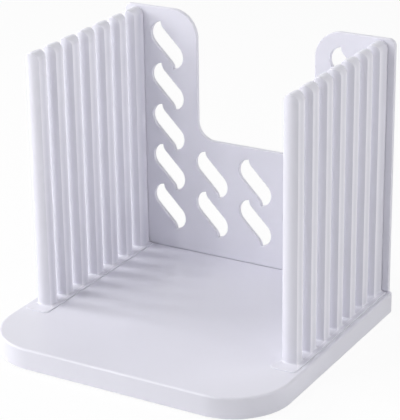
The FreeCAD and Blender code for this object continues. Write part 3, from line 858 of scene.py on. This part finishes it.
def root_outline(front, rear, bow_rear, above):
    """The upright post's outline, flared near the sole, at a height above the sole."""
    flat = [Vector((point.x, point.y)) for point in post_ring(front, rear, bow_rear, 0.0)]
    if above >= ROOT_ROUND:
        return flat
    flare = ROOT_ROUND - math.sqrt(ROOT_ROUND ** 2 - (ROOT_ROUND - above) ** 2)
    flared = moved_out(flat, flare)
    return [Vector((point.x, min(point.y, COMB_REAR))) for point in flared]


widest = max(point.x for point in post_ring(0.0, POST_DEPTH, POST_BULGE, 0.0))
print("an upright ring is", round(2 * widest, 2), "mm wide")


# %% The painted highlight along the edges
def highlight_shares():
    """How much painted highlight each point of a ring gets, from the middle of the front round."""
    corner = [0.0] * (ACROSS // 2 + 1) + [0.5] + [1.0] * (CORNER - 1) + HIGHLIGHT_FADE
    flat = [0.0] * (ALONG - 1 - 2 * len(HIGHLIGHT_FADE))
    right = corner + flat + corner[::-1]
    return right + right[-2:0:-1]


def paint_highlight(vertices, layer, strength=1.0):
    """Writes the share of painted highlight on the vertices of a ring."""
    for vertex, share in zip(vertices, highlight_shares()):
        vertex[layer] = share * strength


print("a ring has", len(highlight_shares()), "points")


# %% A post from its rings
def post(mesh, front, rear, bow_rear):
    """One post on the sole, open at its foot."""
    # The layer that carries the painted highlight along the four upright edges.
    highlight_layer = mesh.verts.layers.float.get("painted_edge_highlight") or mesh.verts.layers.float.new("painted_edge_highlight")
    last = None
    for step in range(ROOT + 1):
        above = ROOT_ROUND * (1 - math.cos(math.pi / 2 * step / ROOT))
        following = ring(mesh, root_outline(front, rear, bow_rear, above), SOLE_TOP + above)
        paint_highlight(following, highlight_layer)
        if last:
            band(mesh, last, following)
        last = following
    for step in range(CROWN + 1):
        lean = math.pi / 2 * step / CROWN
        points = post_ring(front, rear, bow_rear, lean)
        following = [mesh.verts.new((point.x, point.y, POST_TOP - POST_HALF + point.z))
                     for point in points]
        # The painted highlight fades out over the crown.
        paint_highlight(following, highlight_layer, math.cos(lean) ** HIGHLIGHT_END)
        band(mesh, last, following)
        last = following


# %% [markdown]
# ### Six posts and the row that they stand in
#
# Six posts are alike, so one is drawn and a tree repeats it. Pitch and Count are its inputs.
# The seventh is drawn by the same function with its own depth. The sole is drawn last: its top
# has a hole just where each post stands, and merging the doubles closes the comb into one skin.

# %% A tree that repeats a piece along Y
row_tree, group_in, group_out = new_tree("repeat_along_y", [
    ("Count", "Int", GAPS), ("Pitch", "Float", POST_PITCH)])
line = node(row_tree, "GeometryNodeMeshLine", mode="OFFSET")
link(row_tree, group_in.outputs["Count"], line.inputs["Count"])
link(row_tree, vector_of(row_tree, y=group_in.outputs["Pitch"]), line.inputs["Offset"])
stand = node(row_tree, "GeometryNodeInstanceOnPoints")
link(row_tree, line.outputs["Mesh"], stand.inputs["Points"])
link(row_tree, group_in.outputs["Geometry"], stand.inputs["Instance"])
finish_tree(row_tree, group_in, group_out, stand.outputs["Instances"])
print(row_tree.name, "has", len(row_tree.nodes), "nodes")

# %% Where the posts stand, and the outline of the sole
CORE_WIDTH, CORE_DEPTH, CORE_CROWN, CORE_CORNER, CORE_MOUTH = 6.3, 6.6, 4.0, 0.5, 0.2
REAR_POST_FRONT = FIRST_POST + POST_PITCH * GAPS
posts = [(FIRST_POST + POST_PITCH * k, FIRST_POST + POST_PITCH * k + POST_DEPTH, POST_BULGE)
         for k in range(GAPS)] + [(REAR_POST_FRONT, COMB_REAR, 0.0)]
sole_outline = rounded([(-COMB_HALF, comb_low.y, SOLE_CORNER), (COMB_HALF, comb_low.y, SOLE_CORNER),
                        (COMB_HALF, COMB_REAR, SOLE_REAR_CORNER),
                        (-COMB_HALF, COMB_REAR, SOLE_REAR_CORNER)], step=9)
print("posts start at Y", [round(front, 1) for front, rear, bow in posts])

# %% Both combs
for side, sign in (("left", -1), ("right", 1)):
    single = bmesh.new()
    post(single, *posts[0])
    comb = grow(row_tree, {"Count": GAPS, "Pitch": POST_PITCH, "Material": plastic}, single)
    post(comb, *posts[-1])
    roots = [ring(comb, root_outline(*sizes, 0.0), SOLE_TOP) for sizes in posts]
    lower, upper = [ring(comb, sole_outline, z) for z in (SOLE_BOTTOM, SOLE_TOP - SOLE_EDGE)]
    band(comb, lower, upper)
    cap(comb, rounded_edge(comb, upper, sole_outline, SOLE_TOP - SOLE_EDGE, SOLE_EDGE, up=True),
        *roots)
    under = []
    for front, rear, bow_rear in posts:
        middle = (front + rear) / 2
        core = rectangle(-CORE_WIDTH / 2, CORE_WIDTH / 2, middle - CORE_DEPTH / 2,
                         middle + CORE_DEPTH / 2, CORE_CORNER)
        under.append(well(comb, core, SOLE_BOTTOM, POST_TOP - CORE_CROWN - SOLE_BOTTOM,
                          CORE_MOUTH, up=False))
    for y in PEG_YS:
        round_peg = circle(0, y, PEG_RADIUS, ROUND_SIDES)
        root, low = [ring(comb, round_peg, z) for z in (SOLE_BOTTOM, comb_low.z + PEG_TIP)]
        band(comb, low, root)
        cap(comb, rounded_edge(comb, low, round_peg, comb_low.z + PEG_TIP, PEG_TIP, up=False))
        under.append(root)
    cap(comb, lower, *under)
    bake(comb, side + "_comb_moulding", plastic, side + "_comb", side + "_comb",
         place=Matrix.Translation((sign * COMB_CENTRE, 0, 0)))

# %% [markdown]
# ## The back panel
#
# The panel is a thin upright sheet with a notch between two ears. Slanting S-shaped leaves are
# cut through it. It is drawn lying flat, and stood up at the end. A tree repeats the wall of
# one leaf over a grid, and then both faces of the sheet are filled in around all the walls. A
# boolean would be shorter, but the edges of the leaves are rounded like all others, and that
# thin round is what catches the light.

# %% The outline of a leaf
LEAF_NECK, LEAF_SHOULDER, LEAF_TIP = Vector((-2.2, 9.6)), Vector((8.2, -0.8)), Vector((4.1, -13.8))
LEAF_POINT, BELLY_PIECES, INSIDE_PIECES = 0.12, 14, 5


def arc(start, way, stop, pieces):
    """Points on the arc that sets out from start along a direction and ends at stop."""
    chord = stop - start
    turn = math.atan2(way.cross(chord), way.dot(chord))
    radius = chord.length / (2 * math.sin(abs(turn)))
    side = Vector((-way.y, way.x)) * (1 if turn > 0 else -1)
    centre = start + side.normalized() * radius
    spoke = start - centre
    return [centre + Matrix.Rotation(2 * turn * share / pieces, 2) @ spoke
            for share in range(pieces + 1)]


def leaf_outline():
    """Counter-clockwise. The second half is the first one, half a turn round."""
    slope = (LEAF_SHOULDER - LEAF_NECK).normalized()
    belly = arc(LEAF_SHOULDER, slope, LEAF_TIP, BELLY_PIECES)
    inside = arc(-LEAF_NECK, slope, LEAF_TIP, INSIDE_PIECES)
    half = [(point.x, point.y, 0) for point in belly[:-2]]
    half.append((LEAF_TIP.x, LEAF_TIP.y, LEAF_POINT))
    half += [(point.x, point.y, 0) for point in inside[-2::-1]]
    whole = half + [(-x, -y, radius) for x, y, radius in half]
    return rounded(whole[::-1], step=20)


print("a leaf has", len(leaf_outline()), "points")


# %% A tree that repeats a piece over a grid
LEAF_ACROSS, LEAF_UP, LEAF_COLUMNS, LEAF_LOW_ROWS, LEAF_EAR_ROWS = 28.6, 24.9, 5, 2, 3
LEAF_LOWEST = 26.0
grid_tree, group_in, group_out = new_tree("repeat_over_grid", [
    ("Columns", "Int", LEAF_COLUMNS), ("Rows", "Int", LEAF_LOW_ROWS),
    ("Pitch Across", "Float", LEAF_ACROSS), ("Pitch Up", "Float", LEAF_UP),
    ("First Row", "Float", LEAF_LOWEST)])
first = row_across(grid_tree, group_in.outputs["Columns"], group_in.outputs["Pitch Across"])
column = node(grid_tree, "GeometryNodeMeshLine", mode="OFFSET")
link(grid_tree, group_in.outputs["Rows"], column.inputs["Count"])
link(grid_tree, vector_of(grid_tree, y=group_in.outputs["First Row"]),
     column.inputs["Start Location"])
link(grid_tree, vector_of(grid_tree, y=group_in.outputs["Pitch Up"]), column.inputs["Offset"])
columns = node(grid_tree, "GeometryNodeInstanceOnPoints")
link(grid_tree, first, columns.inputs["Points"])
link(grid_tree, column.outputs["Mesh"], columns.inputs["Instance"])
places = node(grid_tree, "GeometryNodeRealizeInstances")
link(grid_tree, columns.outputs["Instances"], places.inputs[0])
stand = node(grid_tree, "GeometryNodeInstanceOnPoints")
link(grid_tree, places.outputs[0], stand.inputs["Points"])
link(grid_tree, group_in.outputs["Geometry"], stand.inputs["Instance"])
finish_tree(grid_tree, group_in, group_out, stand.outputs["Instances"])
print(grid_tree.name, "has", len(grid_tree.nodes), "nodes")

# %% Sizes of the panel, and walls through a sheet
NOTCH_HALF, NOTCH_FLOOR, NOTCH_ROOT, EAR_CORNER, PANEL_CORNER = 37.5, 71.8, 10.7, 16.0, 4.0
PANEL_EDGE, FOOT_CORNER, TAB_CORNER, TAB_ROOT = 0.45, 0.3, 0.5, 1
ON_THE_FACE = 0.01


def through_wall(mesh, points, thickness, edge, grows):
    """The wall of an outline through the sheet, rounded at both faces and open at both ends."""
    low, high = [ring(mesh, points, height) for height in (edge - thickness, -edge)]
    band(mesh, low, high)
    rounded_edge(mesh, high, points, -edge, edge, up=True, grow=grows, steps=4)
    rounded_edge(mesh, low, points, edge - thickness, edge, up=False, grow=grows, steps=4)


def leaf_walls(columns, rows, across, lowest):
    """The walls of a whole grid of leaves."""
    single = bmesh.new()
    through_wall(single, leaf_outline(), PANEL_THICKNESS, PANEL_EDGE, grows=True)
    return grow(grid_tree, {"Columns": columns, "Rows": rows, "Pitch Across": across,
                            "Pitch Up": LEAF_UP, "First Row": lowest, "Material": plastic}, single)


# %% The outline of the panel
panel_half, panel_top, panel_foot = panel_high.x, panel_high.z, BOARD_TOP
notch = BOARD_TOP + NOTCH_FLOOR
sheet_outline = rounded([
    (-panel_half, panel_foot, FOOT_CORNER), (panel_half, panel_foot, FOOT_CORNER),
    (panel_half, panel_top, PANEL_CORNER), (NOTCH_HALF, panel_top, EAR_CORNER),
    (NOTCH_HALF, notch, NOTCH_ROOT), (-NOTCH_HALF, notch, NOTCH_ROOT),
    (-NOTCH_HALF, panel_top, EAR_CORNER), (-panel_half, panel_top, PANEL_CORNER)], step=5)
print("the panel's outline has", len(sheet_outline), "points")

# %% The panel: its leaves, its edge, its two faces and its tabs
panel = leaf_walls(LEAF_COLUMNS, LEAF_LOW_ROWS, LEAF_ACROSS, BOARD_TOP + LEAF_LOWEST)
ears = leaf_walls(2, LEAF_EAR_ROWS, LEAF_ACROSS * (LEAF_COLUMNS - 1),
                  BOARD_TOP + LEAF_LOWEST + LEAF_UP * LEAF_LOW_ROWS)
ears_data = bpy.data.meshes.new("ears")
ears.to_mesh(ears_data)
ears.free()
panel.from_mesh(ears_data)
through_wall(panel, sheet_outline, PANEL_THICKNESS, PANEL_EDGE, grows=False)
for face_height in (0.0, -PANEL_THICKNESS):
    open_edges = [edge for edge in panel.edges if edge.is_boundary
                  and all(abs(vertex.co.z - face_height) < ON_THE_FACE for vertex in edge.verts)]
    bmesh.ops.triangle_fill(panel, edges=open_edges, use_beauty=True)
for x in TAB_XS:
    tab = rectangle(x - TAB_WIDTH / 2, x + TAB_WIDTH / 2, panel_low.z, BOARD_TOP + TAB_ROOT,
                    TAB_CORNER)
    top_ring, bottom_ring = [ring(panel, tab, z) for z in (-TAB_INSET, TAB_INSET - PANEL_THICKNESS)]
    band(panel, bottom_ring, top_ring)
    cap(panel, top_ring)
    cap(panel, bottom_ring)
bake(panel, "pierced_panel", plastic, "back_panel", "back_panel",
     place=Matrix.Translation((0, panel_low.y, 0)) @ Matrix.Rotation(math.pi / 2, 4, "X"))

# %% [markdown]
# ## Last settings
#
# The render uses the Standard view transform, without a film look.

# %% Finish
scene = bpy.context.scene
scene.view_settings.view_transform = "Standard"
